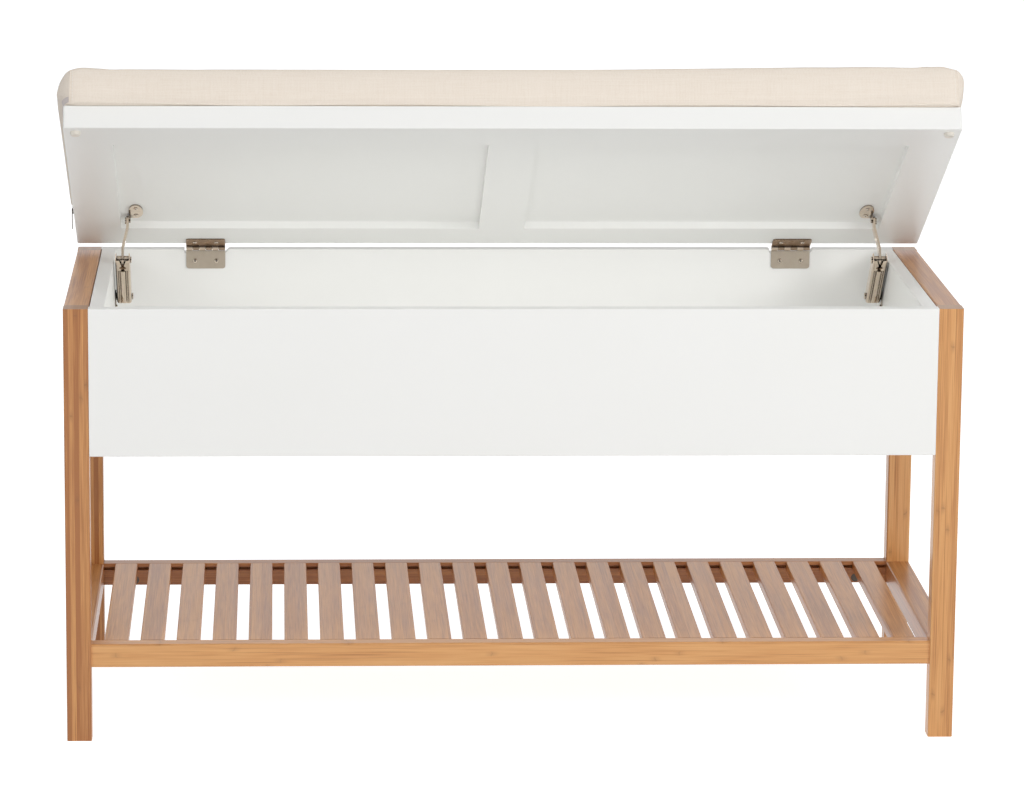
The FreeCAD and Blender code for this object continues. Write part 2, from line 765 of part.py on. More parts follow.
# Screws of the hinges and brackets
def box_screws():
    screws = []
    for x in hinge_screw_xs():
        seat = Vector(x, panel_inner_y - leaf_thickness, hinge_z - hinge_screw_from_axis)
        screws.append(wood_screw(seat, along_y))
    for side in side_names:
        for drop in wall_screw_drops:
            seat = Vector(wall_x - wall_plate_thickness, wall_pivot.y, wall_pivot.z - drop)
            screws.append(sided(wood_screw(seat, along_x), side))
    return Part.makeCompound(screws)


def lid_screws():
    screws = []
    for seat in lid_screw_seats():
        on_frame = abs(seat.z - lid_bottom) < abs(seat.z - lid_floor)
        washer = leaf_thickness if on_frame else lid_plate_thickness
        screws.append(wood_screw(seat - along_z * washer, along_z))
    return Part.makeCompound(screws)


save("box_screws", box_screws())
save("lid_screws", opened(lid_screws()))
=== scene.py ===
import math
from functools import partial

import bmesh
import bpy
import numpy as np
from mathutils import Matrix, Vector
from mathutils.bvhtree import BVHTree


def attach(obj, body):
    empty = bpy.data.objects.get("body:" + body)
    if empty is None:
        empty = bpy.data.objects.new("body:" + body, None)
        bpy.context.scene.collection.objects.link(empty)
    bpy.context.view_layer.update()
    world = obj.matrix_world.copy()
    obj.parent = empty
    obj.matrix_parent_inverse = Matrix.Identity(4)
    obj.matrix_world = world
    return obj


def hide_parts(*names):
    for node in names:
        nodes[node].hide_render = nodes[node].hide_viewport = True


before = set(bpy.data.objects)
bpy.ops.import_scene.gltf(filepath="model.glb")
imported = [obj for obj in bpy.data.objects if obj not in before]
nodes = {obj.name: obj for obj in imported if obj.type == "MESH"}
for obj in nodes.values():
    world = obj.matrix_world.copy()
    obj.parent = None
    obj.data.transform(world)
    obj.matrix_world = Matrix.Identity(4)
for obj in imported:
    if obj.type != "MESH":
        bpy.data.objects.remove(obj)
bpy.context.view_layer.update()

scene = bpy.context.scene
mm = 0.001

# The lid is drawn shut and then turned up about its hinge line, as the CAD does it
hinge = {"y": 168.0 * mm, "z": 446.0 * mm, "openDegrees": 29.0}
hingePoint = Vector((0, hinge["y"], hinge["z"]))
lidTurn = Matrix.Rotation(-math.radians(hinge["openDegrees"]), 4, "X")
lidPose = Matrix.Translation(hingePoint) @ lidTurn @ Matrix.Translation(-hingePoint)
lidClosed = lidPose.inverted()


def linear(code):
    # sRGB hex to the linear colour that shader sockets take
    values = [int(code[i:i + 2], 16) / 255 for i in (0, 2, 4)]
    return [v / 12.92 if v <= 0.04045 else ((v + 0.055) / 1.055) ** 2.4 for v in values] + [1.0]


def addNode(tree, kind, links=None, **settings):
    node = tree.nodes.new(kind)
    for key, value in settings.items():
        setattr(node, key, value)
    for socket, source in (links or {}).items():
        if isinstance(source, bpy.types.NodeSocket):
            tree.links.new(source, node.inputs[socket])
        else:
            node.inputs[socket].default_value = source
    return node


def mathNode(tree, operation, a, b=0.0, c=0.0):
    return addNode(tree, "ShaderNodeMath", {0: a, 1: b, 2: c}, operation=operation).outputs[0]


def blend(tree, share, first, second):
    # Mixes two colours, from the first at share 0 to the second at share 1
    mix = addNode(tree, "ShaderNodeMix", {"Factor": share, 6: first, 7: second}, data_type="RGBA")
    return mix.outputs[2]


def newMaterial(name, constants):
    material = bpy.data.materials.new(name)
    material.use_nodes = True
    tree = material.node_tree
    tree.nodes.clear()
    shader = addNode(tree, "ShaderNodeBsdfPrincipled", constants)
    addNode(tree, "ShaderNodeOutputMaterial", {"Surface": shader.outputs[0]})
    return material, tree, shader


def dress(nodeName, material):
    piece = nodes[nodeName]
    piece.data.materials.clear()
    piece.data.materials.append(material)


def newPiece(name, mesh, material, body):
    piece = bpy.data.objects.new(name, mesh)
    scene.collection.objects.link(piece)
    mesh.materials.clear()
    mesh.materials.append(material)
    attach(piece, body)
    return piece


# Laminated bamboo under clear satin lacquer: pressed strips of differing tone, fine straight
# fibres, a short darker mark where each cane had a joint, and a soft sheen at low angles
bambooLook = {
    "light": "EDB87B",
    "middle": "DA9D5E",
    "dark": "A96933",
    "jointMark": "8A5A30",
    "endGrain": "93673F",
    "fibreWidth": 1.1 * mm,      # real fibres are finer, drawn this coarse to show
    "fibreLength": 60 * mm,
    "figureWidth": 9 * mm,
    "figureLength": 160 * mm,
    "streakWidth": 0.9 * mm,
    "streakLength": 130 * mm,
    "pieceStep": 200 * mm,
    "jointSpacing": 190 * mm,
    "jointWobble": 14 * mm,
    "jointSmudge": 9 * mm,
    "jointLine": 1.5 * mm,
    "jointShare": 0.55,          # how many of the joints show
    "fibreDepth": 0.75,
    "figureDepth": 0.8,
}


def lacqueredBamboo(name, grain, strips, stripWidth, tone, stripContrast, marks, streakDepth):
    look = bambooLook
    material, tree, shader = newMaterial(name, {
        "Roughness": 0.42, "IOR": 1.5, "Coat Weight": 0.4, "Coat Roughness": 0.25,
    })
    where = addNode(tree, "ShaderNodeTexCoord")
    axes = addNode(tree, "ShaderNodeSeparateXYZ", {0: where.outputs["Object"]}).outputs
    along = axes["XYZ".index(grain)]
    across = axes["XYZ".index(strips)]
    third = axes["XYZ".index((set("XYZ") - {grain, strips}).pop())]
    sums = partial(mathNode, tree)

    # One tone for each pressed strip, and one for each piece of the frame
    stripPlace = sums("DIVIDE", across, stripWidth)
    stripNumber = sums("FLOOR", stripPlace)
    pieceNumber = sums("FLOOR", sums("DIVIDE", third, look["pieceStep"]))
    stripKey = addNode(tree, "ShaderNodeCombineXYZ", {0: stripNumber, 1: pieceNumber, 2: 0.37})
    stripTone = addNode(tree, "ShaderNodeTexWhiteNoise", {0: stripKey.outputs[0]}, noise_dimensions="3D")

    def streaks(width, length, detail):
        size = {grain: 1 / length, strips: 1 / width}
        scale = [size.get(axis, 1 / width) for axis in "XYZ"]
        place = addNode(tree, "ShaderNodeMapping", {"Vector": where.outputs["Object"], "Scale": scale})
        shift = addNode(tree, "ShaderNodeVectorMath", {0: place.outputs[0], 1: stripTone.outputs["Color"]},
                        operation="ADD")
        return addNode(tree, "ShaderNodeTexNoise", {
            "Vector": shift.outputs[0], "Scale": 1.0, "Detail": detail, "Roughness": 0.6,
        }).outputs[0]

    fibres = streaks(look["fibreWidth"], look["fibreLength"], 3.0)
    figure = streaks(look["figureWidth"], look["figureLength"], 2.0)
    level = sums("MULTIPLY_ADD", stripTone.outputs["Value"], stripContrast, tone - stripContrast / 2)
    level = sums("ADD", level, sums("MULTIPLY_ADD", fibres, look["fibreDepth"], -look["fibreDepth"] / 2))
    level = sums("ADD", level, sums("MULTIPLY_ADD", figure, look["figureDepth"], -look["figureDepth"] / 2))
    darkStreak = addNode(tree, "ShaderNodeMapRange", {
        "Value": streaks(look["streakWidth"], look["streakLength"], 1.0),
        "From Min": 0.56, "From Max": 0.72, "To Min": 0.0, "To Max": streakDepth,
    }, interpolation_type="SMOOTHSTEP").outputs[0]
    level = sums("SUBTRACT", level, darkStreak)
    ramp = addNode(tree, "ShaderNodeValToRGB", {0: level})
    stops = ramp.color_ramp.elements
    stops[0].color = linear(look["dark"])
    stops[1].color = linear(look["light"])
    stops.new(0.5).color = linear(look["middle"])

    # Joint marks at a different height in each strip: a thin line in a soft brown smudge
    wobble = sums("MULTIPLY_ADD", figure, look["jointWobble"], along)
    turn = sums("ADD", sums("DIVIDE", wobble, look["jointSpacing"]), stripTone.outputs["Value"])
    fromJoint = sums("ABSOLUTE", sums("SUBTRACT", sums("FRACT", turn), 0.5))
    away = sums("MULTIPLY", fromJoint, look["jointSpacing"])
    jointNumber = sums("FLOOR", turn)
    jointKey = addNode(tree, "ShaderNodeCombineXYZ", {0: stripNumber, 1: pieceNumber, 2: jointNumber})
    jointLuck = addNode(tree, "ShaderNodeTexWhiteNoise", {0: jointKey.outputs[0]}, noise_dimensions="3D")
    shows = sums("LESS_THAN", jointLuck.outputs["Value"], look["jointShare"])
    fromMiddle = sums("ABSOLUTE", sums("SUBTRACT", sums("FRACT", stripPlace), 0.5))
    inStrip = sums("SUBTRACT", 1.0, sums("POWER", sums("MULTIPLY", fromMiddle, 2.0), 3.0))
    mark = 0.0
    for reach, depth in ((look["jointSmudge"], 0.55), (look["jointLine"], 0.4)):
        band = addNode(tree, "ShaderNodeMapRange", {
            "Value": away, "From Min": reach, "From Max": 0.0, "To Min": 0.0, "To Max": depth,
        }, interpolation_type="SMOOTHSTEP").outputs[0]
        mark = sums("ADD", mark, sums("MULTIPLY", band, fibres))
    mark = sums("MULTIPLY", sums("MULTIPLY", mark, inStrip), sums("MULTIPLY", shows, marks))
    marked = blend(tree, mark, ramp.outputs[0], linear(look["jointMark"]))

    # Cut ends show the fibre tips, darker and speckled
    facing = addNode(tree, "ShaderNodeSeparateXYZ", {0: where.outputs["Normal"]}).outputs
    cutEnd = sums("GREATER_THAN", sums("ABSOLUTE", facing["XYZ".index(grain)]), 0.8)
    specks = addNode(tree, "ShaderNodeTexNoise", {
        "Vector": where.outputs["Object"], "Scale": 1 / (1.2 * mm), "Detail": 2.0,
    })
    endShare = sums("MULTIPLY", cutEnd, sums("MULTIPLY_ADD", specks.outputs[0], 0.5, 0.45))
    coloured = blend(tree, endShare, marked, linear(look["endGrain"]))
    tree.links.new(coloured, shader.inputs["Base Color"])

    relief = sums("MULTIPLY_ADD", mark, 0.4, fibres)
    bump = addNode(tree, "ShaderNodeBump", {"Strength": 0.12, "Distance": 0.2 * mm, "Height": relief})
    tree.links.new(bump.outputs[0], shader.inputs["Normal"])
    gloss = sums("MULTIPLY_ADD", figure, 0.16, 0.34)
    tree.links.new(gloss, shader.inputs["Roughness"])
    return material


legLeft = lacqueredBamboo("lacqueredBambooLegLeft", "Z", "X", 5.0 * mm, 0.18, 0.5, 1.0, 0.34)
legRight = lacqueredBamboo("lacqueredBambooLegRight", "Z", "X", 5.2 * mm, 0.58, 0.42, 1.0, 0.34)
longRail = lacqueredBamboo("lacqueredBambooLongRail", "X", "Z", 6.1 * mm, 0.54, 0.22, 0.7, 0.25)
rearRail = lacqueredBamboo("lacqueredBambooRearRail", "X", "Z", 6.1 * mm, 0.08, 0.22, 0.45, 0.3)
sideRail = lacqueredBamboo("lacqueredBambooSideRail", "Y", "X", 6.2 * mm, 0.22, 0.25, 0.5, 0.25)
slatWood = lacqueredBamboo("lacqueredBambooSlat", "Y", "X", 9.104 * mm, 0.34, 0.24, 0.25, 0.12)
for name in nodes:
    if name.endswith("leg_left"):
        dress(name, legLeft)
    elif name.endswith("leg_right"):
        dress(name, legRight)
    elif name == "shelf_front_rail":
        dress(name, longRail)
    elif name == "shelf_rear_rail":
        dress(name, rearRail)
    elif "_rail_" in name:
        dress(name, sideRail)
    elif name.startswith("shelf_slat"):
        dress(name, slatWood)
print("bamboo frame dressed")


# Fibreboard with sprayed satin paint: an even soft white with a very fine orange-peel ripple
def sprayedWhitePaint():
    look = {"white": "FBFBF9", "ripple": 1.6 * mm, "drift": 140 * mm}
    material, tree, shader = newMaterial("sprayedWhitePaint", {"Roughness": 0.38, "IOR": 1.48})
    where = addNode(tree, "ShaderNodeTexCoord")
    drift = addNode(tree, "ShaderNodeTexNoise", {
        "Vector": where.outputs["Object"], "Scale": 1 / look["drift"], "Detail": 2.0,
    })
    tint = blend(tree, drift.outputs[0], linear(look["white"]), linear("F9F9F6"))
    tree.links.new(tint, shader.inputs["Base Color"])
    ripple = addNode(tree, "ShaderNodeTexNoise", {
        "Vector": where.outputs["Object"], "Scale": 1 / look["ripple"], "Detail": 1.0,
    })
    bump = addNode(tree, "ShaderNodeBump", {
        "Strength": 0.05, "Distance": 0.1 * mm, "Height": ripple.outputs[0],
    })
    tree.links.new(bump.outputs[0], shader.inputs["Normal"])
    return material


paint = sprayedWhitePaint()
for name in nodes:
    if name.endswith("_panel") or name in ("lid_board", "lid_frame"):
        dress(name, paint)
print("painted box and lid dressed")


# Nickel plate on pressed steel: warm grey metal, finely drawn, with painted shade turning it brown to near
# black in the hollows and gaps, so it is darker round a rolled hinge barrel than on its flat leaves, and a
# lighter painted band on that barrel for its highlight
def platedSteel(name, colour, darker, roughness, hollowShadeTone="130F0C", barrel=False):
    look = {"grain": 0.5 * mm, "cloud": 6 * mm, "hollow": 7 * mm, "barrelRadius": 3.1 * mm}
    material, tree, shader = newMaterial(name, {"Metallic": 1.0})
    where = addNode(tree, "ShaderNodeTexCoord")
    cloud = addNode(tree, "ShaderNodeTexNoise", {
        "Vector": where.outputs["Object"], "Scale": 1 / look["cloud"], "Detail": 3.0,
    })
    tint = blend(tree, cloud.outputs[0], linear(colour), linear(darker))
    # Painted highlight: a lighter, warmer band round the hinge barrel stands in for the light it catches
    # along its length
    if barrel:
        axes = addNode(tree, "ShaderNodeSeparateXYZ", {0: where.outputs["Object"]}).outputs
        onEnd = addNode(tree, "ShaderNodeCombineXYZ", {1: axes["Y"], 2: axes["Z"]})
        fromAxis = addNode(tree, "ShaderNodeVectorMath", {
            0: onEnd.outputs[0], 1: hingePoint,
        }, operation="DISTANCE")
        barrelHighlight = addNode(tree, "ShaderNodeMapRange", {
            "Value": fromAxis.outputs["Value"], "From Min": 1.2 * look["barrelRadius"],
            "From Max": look["barrelRadius"], "To Min": 0.0, "To Max": 0.85,
        })
        tint = blend(tree, barrelHighlight.outputs[0], tint, linear("E6D2BE"))
    # Painted shade: ambient occlusion pulls the colour towards the dark hollow shade tone in grooves,
    # hollows and gaps
    openness = addNode(tree, "ShaderNodeAmbientOcclusion", {"Distance": look["hollow"]}, samples=8)
    unshadedShare = addNode(tree, "ShaderNodeMapRange", {
        "Value": openness.outputs["AO"], "From Min": 0.3, "From Max": 0.9,
    }, interpolation_type="SMOOTHSTEP")
    shadedTint = blend(tree, unshadedShare.outputs[0], linear(hollowShadeTone), tint)
    tree.links.new(shadedTint, shader.inputs["Base Color"])
    gloss = addNode(tree, "ShaderNodeMapRange", {
        "Value": cloud.outputs[0], "To Min": roughness - 0.05, "To Max": roughness + 0.08,
    })
    tree.links.new(gloss.outputs[0], shader.inputs["Roughness"])
    grain = addNode(tree, "ShaderNodeTexNoise", {
        "Vector": where.outputs["Object"], "Scale": 1 / look["grain"], "Detail": 2.0,
    })
    bump = addNode(tree, "ShaderNodeBump", {
        "Strength": 0.06, "Distance": 0.05 * mm, "Height": grain.outputs[0],
    })
    tree.links.new(bump.outputs[0], shader.inputs["Normal"])
    return material


nickel = platedSteel("nickelPlatedSteel", "F6E6D4", "D8C6B3", 0.13)
leafNickel = platedSteel("nickelPlatedLeaf", "DED1C2", "D3C4B4", 0.3, "40342B", True)
# Painted shade: the lid's hinge leaves get a darker copy of the same nickel as the box leaves
shadedLeafNickel = platedSteel("nickelPlatedSteelInPaintedShade", "C8AF99", "A48D79", 0.27, "40342B")
screwSteel = platedSteel("nickelPlatedScrewSteel", "F4E8DB", "DCCDBD", 0.22)
# The zip slider is given a dark grey nickel colour
zipNickel = platedSteel("darkGreyNickel", "8F8A84", "6F6A64", 0.32)
blackZinc = platedSteel("blackZincSteel", "5E5852", "45403B", 0.34)
for name in nodes:
    if name.startswith("hinge_lid_leaf"):
        dress(name, shadedLeafNickel)
    elif name.startswith("hinge_"):
        dress(name, leafNickel)
    elif name.startswith("stay_"):
        dress(name, nickel)
for name in ("barrel_nuts", "shelf_bolts"):
    dress(name, blackZinc)
dress("zip_slider", zipNickel)


# Clear silicone pads: nearly see-through, with a faint warm cast
def clearSilicone():
    material, tree, shader = newMaterial("clearSilicone", {
        "IOR": 1.41, "Transmission Weight": 0.2, "Roughness": 0.5,
    })
    where = addNode(tree, "ShaderNodeTexCoord")
    haze = addNode(tree, "ShaderNodeTexNoise", {"Vector": where.outputs["Object"], "Scale": 1 / (3 * mm)})
    tint = blend(tree, haze.outputs[0], linear("FCF7EE"), linear("F6EFE3"))
    tree.links.new(tint, shader.inputs["Base Color"])
    return material


dress("lid_bumpers", clearSilicone())
print("metal and silicone dressed")

# Screws with a pressed cross in a rounded head
screwLook = {
    "headRadius": 2.5 * mm, "headHeight": 1.2 * mm, "shankRadius": 1.3 * mm, "shankLength": 10 * mm,
    "crossLong": 1.55 * mm, "crossWide": 0.42 * mm, "crossDeep": 0.85 * mm, "around": 28,
}


def screwMesh():
    look = screwLook
    r, h, s = look["headRadius"], look["headHeight"], look["shankRadius"]
    profile = [(0.0, h), (0.45 * r, 0.96 * h), (0.76 * r, 0.78 * h), (0.94 * r, 0.45 * h), (r, 0.12 * h),
               (r, 0.0), (s, 0.0), (s, 0.6 * mm - look["shankLength"]), (0.0, -look["shankLength"])]
    shape = bmesh.new()
    ring = [shape.verts.new((x, 0, z)) for x, z in profile]
    edges = [shape.edges.new((ring[i], ring[i + 1])) for i in range(len(ring) - 1)]
    bmesh.ops.spin(shape, geom=ring + edges, cent=(0, 0, 0), axis=(0, 0, 1), angle=2 * math.pi,
                   steps=look["around"], use_merge=True)
    bmesh.ops.remove_doubles(shape, verts=shape.verts, dist=1e-6)
    bmesh.ops.recalc_face_normals(shape, faces=shape.faces)
    mesh = bpy.data.meshes.new("screwBlank")
    shape.to_mesh(mesh)
    shape.free()
    blank = bpy.data.objects.new("screwBlank", mesh)
    cutter = bmesh.new()
    for turn in (0, math.pi / 2):
        made = bmesh.ops.create_cube(cutter, size=2.0)["verts"]
        for vert in made:
            taper = 1.0 if vert.co.z > 0 else 0.45
            spot = Vector((vert.co.x * look["crossLong"] * taper, vert.co.y * look["crossWide"] * taper,
                           h + vert.co.z * look["crossDeep"]))
            vert.co = Matrix.Rotation(turn, 3, "Z") @ spot
    cutMesh = bpy.data.meshes.new("screwCross")
    cutter.to_mesh(cutMesh)
    cutter.free()
    cross = bpy.data.objects.new("screwCross", cutMesh)
    for thing in (blank, cross):
        scene.collection.objects.link(thing)
    cut = blank.modifiers.new("cross", "BOOLEAN")
    cut.operation = "DIFFERENCE"
    cut.solver = "EXACT"
    cut.use_self = True
    cut.object = cross
    bpy.context.view_layer.update()
    finished = bpy.data.meshes.new_from_object(blank.evaluated_get(bpy.context.evaluated_depsgraph_get()))
    for thing in (blank, cross):
        bpy.data.objects.remove(thing)
    return finished


def screwSet(name, places, pose):
    # places: seat point in the shut pose, and the way the head faces
    template = screwMesh()
    whole = bmesh.new()
    for number, (seat, facing) in enumerate(places):
        copy = template.copy()
        twist = Matrix.Rotation(math.radians(31 + 47 * number), 4, "Z")
        aim = Vector(facing).to_track_quat("Z", "Y").to_matrix().to_4x4()
        copy.transform(pose @ Matrix.Translation(Vector(seat)) @ aim @ twist)
        whole.from_mesh(copy)
        bpy.data.meshes.remove(copy)
    mesh = bpy.data.meshes.new(name)
    whole.to_mesh(mesh)
    whole.free()
    bpy.data.meshes.remove(template)
    return mesh


hingeScrews = {
    "hingeX": 313.7 * mm, "spacing": 22.7 * mm, "fromAxis": 14.5 * mm, "leaf": 1.4 * mm, "offset": 2.0 * mm,
}
wallScrews = {"x": 408.0 * mm, "y": 134.8 * mm, "z": 399.2 * mm, "drops": (11.5 * mm, 19.5 * mm)}
plateScrews = {"x": 385.5 * mm, "y": 79.1 * mm, "pitch": 20.0 * mm, "z": 454.5 * mm}
boxPlaces = []
lidPlaces = []
for side in (-1, 1):
    for step in (-0.5, 0.5):
        x = side * hingeScrews["hingeX"] + step * hingeScrews["spacing"]
        reach = hingeScrews["offset"] - hingeScrews["leaf"]
        boxPlaces.append(((x, hinge["y"] + reach, hinge["z"] - hingeScrews["fromAxis"]), (0, -1, 0)))
        lidPlaces.append(((x, hinge["y"] - hingeScrews["fromAxis"], hinge["z"] + reach), (0, 0, -1)))
        plateY = plateScrews["y"] + step * plateScrews["pitch"]
        lidPlaces.append(((side * plateScrews["x"], plateY, plateScrews["z"]), (0, 0, -1)))
    for drop in wallScrews["drops"]:
        boxPlaces.append(((side * wallScrews["x"], wallScrews["y"], wallScrews["z"] - drop), (-side, 0, 0)))
boxScrewMesh = screwSet("boxScrewSet", boxPlaces, Matrix.Identity(4))
boxScrews = newPiece("boxScrewSet", boxScrewMesh, screwSteel, "bench")
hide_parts("box_screws")
lidScrewMesh = screwSet("lidScrewSet", lidPlaces, lidPose)
lidScrews = newPiece("lidScrewSet", lidScrewMesh, screwSteel, "lid")
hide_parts("lid_screws")
print("screws made")


# Plain-weave linen blend: cream yarn in two directions, with thicker slubs and a dry, matt hand
def linenWeave():
    look = {
        "cream": "F4E9DC", "shade": "E7D8C6", "slub": "FAF2E7",
        "thread": 1.5 * mm,     # real yarn is about half as thick, drawn this coarse to show
        "slubLength": 38 * mm, "slubWidth": 1.4 * mm,
    }
    material, tree, shader = newMaterial("linenWeave", {
        "Roughness": 0.9, "IOR": 1.45, "Sheen Weight": 0.25, "Sheen Roughness": 0.5,
    })
    where = addNode(tree, "ShaderNodeTexCoord")
    # Turn the pattern with the lid, so the threads run along the cushion's own sides
    tilt = [math.radians(hinge["openDegrees"]), 0, 0]
    square = addNode(tree, "ShaderNodeMapping", {"Vector": where.outputs["Object"], "Rotation": tilt})
    facing = addNode(tree, "ShaderNodeMapping", {"Vector": where.outputs["Normal"], "Rotation": tilt})
    spots = addNode(tree, "ShaderNodeSeparateXYZ", {0: square.outputs[0]}).outputs
    faces = addNode(tree, "ShaderNodeSeparateXYZ", {0: facing.outputs[0]}).outputs
    sums = partial(mathNode, tree)

    weave = None
    for axis in range(3):
        wave = sums("SINE", sums("MULTIPLY", spots[axis], 2 * math.pi / look["thread"]))
        inPlane = sums("SUBTRACT", 1.0, sums("ABSOLUTE", faces[axis]))
        part = sums("MULTIPLY", wave, sums("POWER", inPlane, 2.0))
        weave = part if weave is None else sums("ADD", weave, part)

    slubs = None
    for axis in range(3):
        scale = [1 / look["slubWidth"]] * 3
        scale[axis] = 1 / look["slubLength"]
        stretch = addNode(tree, "ShaderNodeMapping", {"Vector": square.outputs[0], "Scale": scale})
        noise = addNode(tree, "ShaderNodeTexNoise", {
            "Vector": stretch.outputs[0], "Scale": 1.0, "Detail": 2.0,
        })
        slubs = noise.outputs[0] if slubs is None else sums("ADD", slubs, noise.outputs[0])
    slubs = sums("MULTIPLY", slubs, 1 / 3)
    level = sums("ADD", sums("MULTIPLY_ADD", slubs, 0.9, 0.0), sums("MULTIPLY", weave, 0.03))
    ramp = addNode(tree, "ShaderNodeValToRGB", {0: level})
    stops = ramp.color_ramp.elements
    stops[0].color = linear(look["shade"])
    stops[1].color = linear(look["slub"])
    stops.new(0.5).color = linear(look["cream"])
    tree.links.new(ramp.outputs[0], shader.inputs["Base Color"])
    height = sums("MULTIPLY_ADD", weave, 0.5, slubs)
    bump = addNode(tree, "ShaderNodeBump", {"Strength": 0.15, "Distance": 0.25 * mm, "Height": height})
    tree.links.new(bump.outputs[0], shader.inputs["Normal"])
    return material


linen = linenWeave()

# Cushion, swelled as cloth round its foam and flat only where it lies on the lid
cushionLook = {
    "voxel": 5.0 * mm, "startSmaller": 1.0 * mm, "pressure": 4.0, "frames": 20, "cap": 4.0 * mm,
    "endSoftening": 3, "endZone": 32 * mm, "flatBase": 2.6 * mm, "wave": 1.1 * mm,
    # Height of the front's upper edge above the lid, from left to right, as seen in the photograph
    "edgeX": np.array([-446, -440, -433, -427, -370, 80, 300, 430, 434, 443, 448]) * mm,
    "edgeRise": np.array([37.2, 40.5, 41.7, 42.0, 40.2, 40.8, 44.2, 45.2, 44.3, 42.9, 39.0]) * mm,
    "edgeInset": 40 * mm, "edgeStations": 15, "edgeWindow": 15 * mm, "endWindow": 4 * mm,
    "edgeTurn": 17.5, "edgeY": -181.0 * mm, "endSteps": np.array([5, 12, 20]) * mm,
    # Outline of each end at its front and at its rear: height above the lid and distance out, in mm
    "leftFront": ((2, 450.4), (9, 450.4), (12.5, 458.5), (16, 460), (22, 458), (27, 456.3),
                  (31, 454.7), (35.6, 452.7), (39, 449.3), (41, 445.5), (42.5, 437)),
    "leftRear": ((2, 450.4), (9, 450.4), (12.5, 457.5), (16, 459.2), (22, 457.8), (27, 456),
                 (31, 454), (35.6, 450.5), (39, 446), (41, 441), (42.5, 434)),
    "rightFront": ((3, 451), (12, 454.6), (25, 456), (33.7, 456.2), (38.1, 455), (41.3, 452),
                   (43, 448), (44.5, 440)),
    "rightRear": ((3, 450.6), (12, 452.8), (25, 453.5), (33.7, 452.4), (38.1, 449.5),
                  (40.3, 446.4), (43, 438)),
    "endReach": 60 * mm, "endStations": 13, "lastStation": 0.92,
    "stationWindow": 0.08, "outlineLevels": 18, "outlineWindow": 3 * mm,
    # The cover turns the front corners past the upright seams, more so on the left
    "leftTurn": (442 * mm, 13 * mm), "rightTurn": (446 * mm, 5 * mm), "turnRun": 15 * mm,
    "gather": 0.35 * mm,
}
# The zip lies low in the left end, under the slider
zipLook = {
    "above": 5.0 * mm, "endX": -450.2 * mm, "rear": 148.0 * mm, "front": -164.0 * mm,
    "tapeHalf": 3.6 * mm, "tapeThick": 0.35 * mm, "toothStep": 1.7 * mm, "toothSpread": 0.75 * mm,
    "toothSize": (0.45 * mm, 0.7 * mm, 0.95 * mm), "inside": 25 * mm, "cornerTurn": 48,
}


